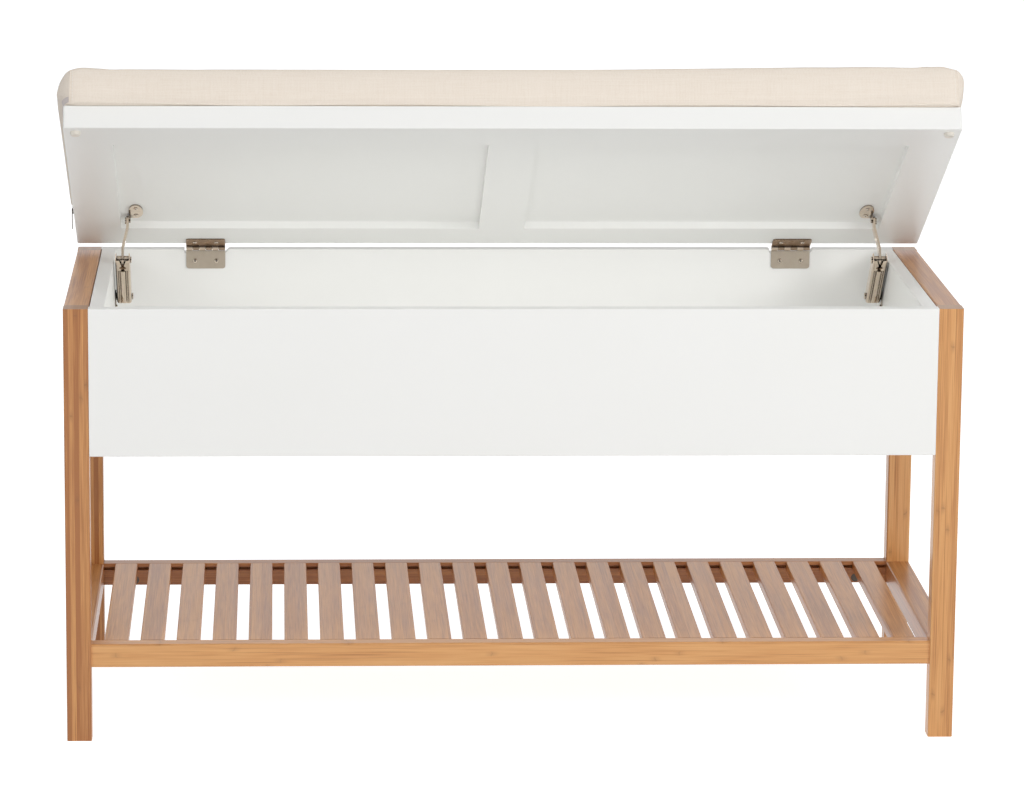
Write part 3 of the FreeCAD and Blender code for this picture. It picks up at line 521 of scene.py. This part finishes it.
def sewnCushion():
    look = cushionLook
    mesh = nodes["cushion"].data.copy()
    mesh.transform(lidClosed)
    spots = np.array([v.co for v in mesh.vertices])
    low, high = spots.min(0), spots.max(0)
    middle = (low + high) / 2
    half = (high - low) / 2
    spots = middle + (spots - middle) * (half - look["startSmaller"] * np.array([1, 1, 0])) / half
    mesh.vertices.foreach_set("co", spots.astype(np.float32).ravel())
    piece = bpy.data.objects.new("cushionCover", mesh)
    scene.collection.objects.link(piece)
    bpy.context.view_layer.objects.active = piece
    piece.select_set(True)
    mesh.remesh_voxel_size = look["voxel"]
    bpy.ops.object.voxel_remesh()
    mesh = piece.data
    start = np.array([v.co for v in mesh.vertices])
    held = start[:, 2] < low[2] + look["flatBase"]
    base = piece.vertex_groups.new(name="onLid")
    base.add([int(i) for i in np.nonzero(held)[0]], 1.0, "REPLACE")
    cloth = piece.modifiers.new("cover", "CLOTH")
    cloth.settings.quality = 5
    cloth.settings.mass = 0.3
    cloth.settings.use_pressure = True
    cloth.settings.uniform_pressure_force = look["pressure"]
    cloth.settings.effector_weights.gravity = 0.0
    cloth.settings.vertex_group_mass = "onLid"
    cloth.collision_settings.use_collision = False
    cloth.point_cache.frame_start = 1
    cloth.point_cache.frame_end = look["frames"]
    for step in range(1, look["frames"] + 1):
        scene.frame_set(step)
    swelled = piece.evaluated_get(bpy.context.evaluated_depsgraph_get())
    ended = np.array([v.co for v in swelled.data.vertices])
    piece.modifiers.remove(cloth)
    scene.frame_set(1)
    moved = ended - start
    length = np.linalg.norm(moved, axis=1, keepdims=True)
    moved *= np.minimum(1.0, look["cap"] / np.maximum(length, 1e-9))
    print("cushion swelled by up to", round(float(length.max()) / mm, 2), "mm before the cap")
    mesh.vertices.foreach_set("co", (start + moved).astype(np.float32).ravel())
    shape = bmesh.new()
    shape.from_mesh(mesh)
    shape.verts.ensure_lookup_table()
    free = [shape.verts[i] for i in np.nonzero(~held)[0]]
    nearEnds = [v for v in free if abs(v.co.x) > half[0] - look["endZone"]]
    for step in range(look["endSoftening"]):
        bmesh.ops.smooth_vert(shape, verts=nearEnds, factor=0.5,
                              use_axis_x=True, use_axis_y=True, use_axis_z=True)
    # Slow waves where the cover lies unevenly over the foam
    for vert in free:
        x, y, z = vert.co
        rise = (z - low[2]) / (high[2] - low[2])
        swing = math.sin(7.1 * x + 0.6) + 0.6 * math.sin(15.3 * x + 9.0 * y + 2.0)
        swing += 0.4 * math.sin(31.0 * x - 14.0 * y)
        vert.co.z += look["wave"] * 0.5 * swing * rise
        sway = math.sin(11.7 * x + 1.1) + 0.5 * math.sin(27.0 * x + 0.4)
        vert.co.y -= look["wave"] * 0.35 * sway * rise
    shape.to_mesh(mesh)
    shape.free()
    # Softening draws the form in, so it is brought back to its size
    spots = np.array([v.co for v in mesh.vertices])
    softLow, softHigh = spots.min(0), spots.max(0)
    wantLow = np.array(low)
    wantHigh = np.array([high[0], high[1], softHigh[2]])
    spots = wantLow + (spots - softLow) * (wantHigh - wantLow) / (softHigh - softLow)
    turn = math.radians(look["edgeTurn"])
    reach = (spots[:, 2] - low[2]) * math.cos(turn) - (spots[:, 1] - look["edgeY"]) * math.sin(turn)
    # Places along the front where its edge is measured, closer together by the ends
    inner = np.linspace(low[0] + look["edgeInset"], high[0] - look["edgeInset"], look["edgeStations"])
    stations = np.concatenate([low[0] + look["endSteps"], inner, high[0] - look["endSteps"][::-1]])
    windows = np.where(np.abs(stations) > inner[-1] + 1 * mm, look["endWindow"], look["edgeWindow"])
    found = [reach[np.abs(spots[:, 0] - x) < w].max() / math.cos(turn) for x, w in zip(stations, windows)]
    wanted = np.interp(stations, look["edgeX"], look["edgeRise"])
    stretch = np.interp(spots[:, 0], stations, wanted / np.array(found))
    spots[:, 2] = low[2] + (spots[:, 2] - low[2]) * stretch
    rise = spots[:, 2] - low[2]
    depth = (spots[:, 1] - middle[1]) / half[1]
    stations = np.linspace(-look["lastStation"], look["lastStation"], look["endStations"])
    between = np.clip((depth - stations[0]) / (stations[1] - stations[0]), 0, len(stations) - 1.001)
    before = between.astype(int)
    each = np.arange(len(spots))
    for sign, side in ((-1, "left"), (1, "right")):
        outward = sign * spots[:, 0]
        near = np.clip((outward - half[0] + look["endReach"]) / look["endReach"], 0, 1) ** 2
        shifts = []
        for number, station in enumerate(stations):
            band = (near > 0.2) & (np.abs(depth - station) < look["stationWindow"])
            levels = np.linspace(1 * mm, rise[band].max() - 1 * mm, look["outlineLevels"])
            slices = [band & (np.abs(rise - level) < look["outlineWindow"]) for level in levels]
            found = [outward[part].max() for part in slices]
            outlines = [np.array(look[side + end]).T * mm for end in ("Front", "Rear")]
            front, rear = (np.interp(levels, *outline) for outline in outlines)
            wanted = front + (rear - front) * number / (len(stations) - 1)
            shifts.append(np.interp(rise, levels, wanted - np.array(found)))
        shifts = np.array(shifts)
        nearer = shifts[before, each]
        shift = nearer + (shifts[before + 1, each] - nearer) * (between - before)
        spots[:, 0] += sign * near * shift
        turnFrom, turnDepth = look[side + "Turn"]
        past = np.clip((sign * spots[:, 0] - turnFrom) / look["turnRun"], 0, 1) ** 1.4
        atFace = np.clip((np.abs(depth) - 0.8) / 0.2, 0, 1)
        spots[:, 1] -= np.sign(depth) * past * atFace * turnDepth
        ripple = np.sin(spots[:, 2] / (2.1 * mm) + 2 * np.sin(spots[:, 2] / (5 * mm)))
        spots[:, 1] += look["gather"] * past * atFace * ripple
    wantLow, wantHigh = spots.min(0), spots.max(0)
    mesh.vertices.foreach_set("co", spots.astype(np.float32).ravel())
    smooth = piece.modifiers.new("finer", "SUBSURF")
    smooth.levels = 1
    smooth.render_levels = 1
    bpy.context.view_layer.update()
    final = bpy.data.meshes.new_from_object(piece.evaluated_get(bpy.context.evaluated_depsgraph_get()))
    bpy.data.objects.remove(piece)
    final.name = "cushionCover"
    final.polygons.foreach_set("use_smooth", [True] * len(final.polygons))
    return final, wantLow, wantHigh


cushionMesh, cushionLow, cushionHigh = sewnCushion()
cushionSkin = BVHTree.FromPolygons([v.co.copy() for v in cushionMesh.vertices],
                                   [list(p.vertices) for p in cushionMesh.polygons])
cushionMesh.transform(lidPose)
cushion = newPiece("cushionCover", cushionMesh, linen, "lid")
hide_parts("cushion")
print("cushion made")


def onSkin(centre, outward, lift):
    # The point of the cover that lies outward of a point inside the cushion
    castFrom = 150 * mm
    outward = Vector(outward).normalized()
    hit = cushionSkin.ray_cast(Vector(centre) + outward * castFrom, -outward)[0]
    return hit + outward * lift


def tubes(name, runs, radius, closed=False, rings=2):
    curve = bpy.data.curves.new(name, "CURVE")
    curve.dimensions = "3D"
    curve.bevel_depth = radius
    curve.bevel_resolution = rings
    curve.use_fill_caps = True
    for run in runs:
        line = curve.splines.new("POLY")
        line.points.add(len(run) - 1)
        for point, spot in zip(line.points, run):
            point.co = (*spot, 1)
        line.use_cyclic_u = closed
    holder = bpy.data.objects.new(name, curve)
    scene.collection.objects.link(holder)
    bpy.context.view_layer.update()
    mesh = bpy.data.meshes.new_from_object(holder.evaluated_get(bpy.context.evaluated_depsgraph_get()))
    bpy.data.objects.remove(holder)
    mesh.name = name
    mesh.polygons.foreach_set("use_smooth", [True] * len(mesh.polygons))
    mesh.transform(lidPose)
    return mesh


def rimPath(step):
    # Points round an inner rounded rectangle, each with its outward direction
    inX, inY, corner = 26 * mm, 24 * mm, 6 * mm
    left, right = cushionLow[0] + inX, cushionHigh[0] - inX
    front, rear = cushionLow[1] + inY, cushionHigh[1] - inY
    path = []
    turns = [
        ((right, front), -90, 0), ((right, rear), 0, 90), ((left, rear), 90, 180), ((left, front), 180, 270),
    ]
    for number, ((x, y), start, end) in enumerate(turns):
        for share in np.linspace(0, 1, 9):
            angle = math.radians(start + (end - start) * share)
            out = Vector((math.cos(angle), math.sin(angle), 0))
            path.append((Vector((x, y, 0)) + out * corner, out))
        nextX, nextY = turns[(number + 1) % 4][0]
        out = Vector((math.cos(math.radians(end)), math.sin(math.radians(end)), 0))
        begin = Vector((x, y, 0)) + out * corner
        stop = Vector((nextX, nextY, 0)) + out * corner
        count = int((stop - begin).length / step)
        path += [(begin.lerp(stop, i / count), out) for i in range(1, count)]
    return path


# Seams: a folded welt at the foot of the cover, a finer one round the top, and four upright
# seams by the corners with a row of stitches
seamLook = {
    "footRadius": 1.2 * mm, "footRise": 1.5 * mm, "topRadius": 0.55 * mm, "topTurn": 80, "topDrop": 17 * mm,
    "uprightRadius": 0.6 * mm, "leftX": -443.5 * mm, "rightX": 447.0 * mm,
    "stitchRadius": 0.32 * mm, "stitchLength": 2.1 * mm, "stitchPitch": 3.4 * mm, "stitchAside": 2.6 * mm,
}


# Cotton sewing thread: a shade lighter than the cover, so that the stitches show
def cottonThread():
    material, tree, shader = newMaterial("cottonThread", {"Base Color": linear("F6EFE6"), "Roughness": 0.8})
    where = addNode(tree, "ShaderNodeTexCoord")
    twist = addNode(tree, "ShaderNodeTexNoise", {"Vector": where.outputs["Object"], "Scale": 1 / (0.6 * mm)})
    bump = addNode(tree, "ShaderNodeBump", {
        "Strength": 0.2, "Distance": 0.1 * mm, "Height": twist.outputs[0],
    })
    tree.links.new(bump.outputs[0], shader.inputs["Normal"])
    return material


thread = cottonThread()
rim = rimPath(5 * mm)
footLine = []
topLine = []
for spot, out in rim:
    wander = 0.5 * mm * math.sin(21 * spot.x + 13 * spot.y)
    foot = cushionLow[2] + seamLook["footRise"] + wander
    footLine.append(onSkin((spot.x, spot.y, foot), out, 0.0))
    turn = math.radians(seamLook["topTurn"])
    rising = out * math.cos(turn) + Vector((0, 0, math.sin(turn)))
    topLine.append(onSkin((spot.x, spot.y, cushionHigh[2] - seamLook["topDrop"]), rising, 0.0))
footMesh = tubes("footWelt", [footLine], seamLook["footRadius"], True)
newPiece("footWelt", footMesh, linen, "lid")
topMesh = tubes("topWelt", [topLine], seamLook["topRadius"], True)
newPiece("topWelt", topMesh, linen, "lid")

uprights = []
stitches = []
for seamX, away in ((seamLook["leftX"], 1), (seamLook["rightX"], -1)):
    for facing, edge in ((-1, cushionLow[1]), (1, cushionHigh[1])):
        for aside, keep in ((0.0, uprights), (away * seamLook["stitchAside"], stitches)):
            line = []
            inner = edge - facing * 20 * mm
            crown = cushionHigh[2] - 20 * mm
            for rise in np.linspace(cushionLow[2] + 3 * mm, crown, 24):
                line.append(onSkin((seamX + aside, inner, rise), (0, facing, 0), 0.0))
            for turn in np.linspace(0, math.radians(78), 24)[1:]:
                out = (0, facing * math.cos(turn), math.sin(turn))
                line.append(onSkin((seamX + aside, inner, crown), out, 0.0))
            keep.append(line)


def stitchRuns(line):
    look = seamLook
    steps = [(line[i + 1] - line[i]).length for i in range(len(line) - 1)]
    marks = np.concatenate([[0], np.cumsum(steps)])
    points = np.array(line)

    def at(distance):
        return Vector([float(np.interp(distance, marks, points[:, axis])) for axis in range(3)])

    starts = np.arange(1 * mm, marks[-1] - look["stitchLength"], look["stitchPitch"])
    return [[at(d), at(d + look["stitchLength"] / 2), at(d + look["stitchLength"])] for d in starts]


uprightMesh = tubes("uprightSeams", uprights, seamLook["uprightRadius"])
newPiece("uprightSeams", uprightMesh, linen, "lid")
stitchList = [run for line in stitches for run in stitchRuns(line)]
stitchMesh = tubes("seamStitches", stitchList, seamLook["stitchRadius"], False, 1)
newPiece("seamStitches", stitchMesh, thread, "lid")
print("seams and stitches made")


# Zip tape: woven polyester, pale grey with a faint mauve cast and a fine cross rib
def zipTapeMaterial():
    material, tree, shader = newMaterial("polyesterTape", {"Roughness": 0.7})
    where = addNode(tree, "ShaderNodeTexCoord")
    rib = addNode(tree, "ShaderNodeTexNoise", {"Vector": where.outputs["Object"], "Scale": 1 / (1.0 * mm)})
    tint = blend(tree, rib.outputs[0], linear("E2D9D6"), linear("D5CBC8"))
    tree.links.new(tint, shader.inputs["Base Color"])
    return material


def zipRows():
    look = zipLook
    inside = look["endX"] + look["inside"]
    path = [((inside, y), (-1, 0, 0)) for y in np.arange(look["rear"], look["front"], -3 * mm)]
    # The front end of the zip goes on round the cushion's corner
    for share in np.linspace(0, 1, 10):
        angle = math.radians(180 + look["cornerTurn"] * share)
        path.append(((inside, look["front"]), (math.cos(angle), math.sin(angle), 0)))
    tape = bmesh.new()
    height = cushionLow[2] + look["above"]
    rows = []
    for (x, y), out in path:
        row = []
        for rise in np.linspace(-look["tapeHalf"], look["tapeHalf"], 6):
            row.append(tape.verts.new(onSkin((x, y, height + rise), out, 0.4 * mm)))
        rows.append(row)
    for first, second in zip(rows, rows[1:]):
        for i in range(5):
            tape.faces.new((first[i], first[i + 1], second[i + 1], second[i]))
    bmesh.ops.recalc_face_normals(tape, faces=tape.faces)
    bmesh.ops.solidify(tape, geom=list(tape.faces), thickness=look["tapeThick"])
    tapeMesh = bpy.data.meshes.new("zipTape")
    tape.to_mesh(tapeMesh)
    tape.free()
    tapeMesh.transform(lidPose)
    teeth = bmesh.new()
    for number, y in enumerate(np.arange(look["rear"], look["front"], -look["toothStep"])):
        side = look["toothSpread"] * (1 if number % 2 else -1)
        spot = onSkin((inside, y, height + side), (-1, 0, 0), 0.55 * mm)
        place = Matrix.Translation(spot) @ Matrix.Diagonal((*look["toothSize"], 1))
        bmesh.ops.create_icosphere(teeth, subdivisions=1, radius=1.0, matrix=place)
    teethMesh = bpy.data.meshes.new("zipTeeth")
    teeth.to_mesh(teethMesh)
    teeth.free()
    teethMesh.polygons.foreach_set("use_smooth", [True] * len(teethMesh.polygons))
    teethMesh.transform(lidPose)
    return tapeMesh, teethMesh


tapeCloth = zipTapeMaterial()
tapeMesh, teethMesh = zipRows()
newPiece("zipTape", tapeMesh, tapeCloth, "lid")
newPiece("zipTeeth", teethMesh, tapeCloth, "lid")
print("zip made")

# Studio: pale floor and plain soft light
studio = {
    "floor": "EAEAEA", "floorHalf": 9.0, "floorLift": 0.85, "worldLight": 0.375, "frontGloss": 0.12,
    "leftPower": 16.5, "rightPower": 46.5, "topPower": 13.0, "frontPower": 13.5, "fillPower": 0.25,
}


def studioSetup():
    look = studio
    material, tree, shader = newMaterial("studioFloor", {
        "Base Color": linear(look["floor"]), "Roughness": 0.9,
    })
    path = addNode(tree, "ShaderNodeLightPath").outputs
    seen = mathNode(tree, "MAXIMUM", path["Is Camera Ray"], path["Is Glossy Ray"])
    seen = mathNode(tree, "MAXIMUM", seen, path["Is Transmission Ray"])
    lift = mathNode(tree, "MULTIPLY", seen, look["floorLift"])
    glow = addNode(tree, "ShaderNodeEmission", {"Strength": lift})
    both = addNode(tree, "ShaderNodeAddShader", {0: shader.outputs[0], 1: glow.outputs[0]})
    tree.links.new(both.outputs[0], tree.nodes["Material Output"].inputs["Surface"])
    half = look["floorHalf"]
    mesh = bpy.data.meshes.new("studioFloor")
    corners = [(-half, -half, 0), (half, -half, 0), (half, half, 0), (-half, half, 0)]
    mesh.from_pydata(corners, [], [(0, 1, 2, 3)])
    mesh.materials.append(material)
    floor = bpy.data.objects.new("studioFloor", mesh)
    scene.collection.objects.link(floor)

    world = bpy.data.worlds.new("studioWorld")
    world.use_nodes = True
    scene.world = world
    tree = world.node_tree
    tree.nodes.clear()
    path = addNode(tree, "ShaderNodeLightPath").outputs
    seen = mathNode(tree, "MAXIMUM", path["Is Camera Ray"], path["Is Transmission Ray"])
    # Metal mirrors a white backdrop behind the bench and a dimmer room in front of it
    where = addNode(tree, "ShaderNodeTexCoord").outputs["Generated"]
    depth = addNode(tree, "ShaderNodeSeparateXYZ", {0: where}).outputs["Y"]
    mirrored = addNode(tree, "ShaderNodeMapRange", {
        "Value": depth, "From Min": -0.25, "From Max": 0.3, "To Min": look["frontGloss"], "To Max": 1.0,
    }, interpolation_type="SMOOTHSTEP")
    white = linear("FFFFFF")
    gloss = addNode(tree, "ShaderNodeBackground", {"Color": white, "Strength": mirrored.outputs[0]})
    plain = addNode(tree, "ShaderNodeBackground", {"Color": white, "Strength": 1.0})
    light = addNode(tree, "ShaderNodeBackground", {"Color": white, "Strength": look["worldLight"]})
    inner = addNode(tree, "ShaderNodeMixShader", {
        0: path["Is Glossy Ray"], 1: light.outputs[0], 2: gloss.outputs[0],
    })
    mix = addNode(tree, "ShaderNodeMixShader", {0: seen, 1: inner.outputs[0], 2: plain.outputs[0]})
    addNode(tree, "ShaderNodeOutputWorld", {"Surface": mix.outputs[0]})

    def softbox(name, spot, target, width, height, power, mirrored=True):
        lamp = bpy.data.lights.new(name, "AREA")
        lamp.shape = "RECTANGLE"
        lamp.size = width
        lamp.size_y = height
        lamp.energy = power
        holder = bpy.data.objects.new(name, lamp)
        scene.collection.objects.link(holder)
        holder.visible_camera = False
        holder.visible_glossy = mirrored
        holder.location = spot
        holder.rotation_mode = "QUATERNION"
        holder.rotation_quaternion = (Vector(target) - Vector(spot)).to_track_quat("-Z", "Y")

    softbox("leftSoftbox", (-2.8, -2.8, 1.8), (0, 0, 0.45), 1.2, 1.2, look["leftPower"])
    softbox("rightSoftbox", (2.8, -2.8, 1.8), (0, 0, 0.45), 1.2, 1.2, look["rightPower"])
    softbox("topSoftbox", (0.0, -1.0, 3.2), (0, 0, 0.5), 2.0, 1.2, look["topPower"])
    softbox("frontSoftbox", (0.0, -3.2, 0.9), (0, 0, 0.4), 2.2, 1.4, look["frontPower"], False)
    # A weak fill stands in the open box behind its front panel, for the inside and the lid's underside
    softbox("boxFill", (0.0, -0.155, 0.35), (0, 0.17, 0.37), 0.84, 0.1, look["fillPower"], False)


studioSetup()

# Camera at the photograph's angle, from sizes fitted to the bench's corners
camera = {
    "focalPixels": 4604.728, "imageWidth": 1024, "sensor": 36.0,
    "yaw": 2.9503, "pitch": 11.4586, "roll": -0.5141,
    "spot": (-235.272 * mm, -4693.467 * mm, 1274.209 * mm),
}


def photoCamera():
    look = camera
    yaw, pitch, roll = (math.radians(look[key]) for key in ("yaw", "pitch", "roll"))
    forward = Vector((math.sin(yaw) * math.cos(pitch), math.cos(yaw) * math.cos(pitch), -math.sin(pitch)))
    right = Vector((math.cos(yaw), -math.sin(yaw), 0))
    down = forward.cross(right)
    level = math.cos(roll) * right + math.sin(roll) * down
    drop = -math.sin(roll) * right + math.cos(roll) * down
    lens = bpy.data.cameras.new("photoCamera")
    lens.sensor_width = look["sensor"]
    lens.lens = look["focalPixels"] * look["sensor"] / look["imageWidth"]
    lens.clip_end = 100
    holder = bpy.data.objects.new("photoCamera", lens)
    scene.collection.objects.link(holder)
    turn = Matrix((level, -drop, -forward)).transposed().to_4x4()
    holder.matrix_world = Matrix.Translation(look["spot"]) @ turn
    scene.camera = holder


photoCamera()
scene.view_settings.view_transform = "Standard"
print("studio and camera set")
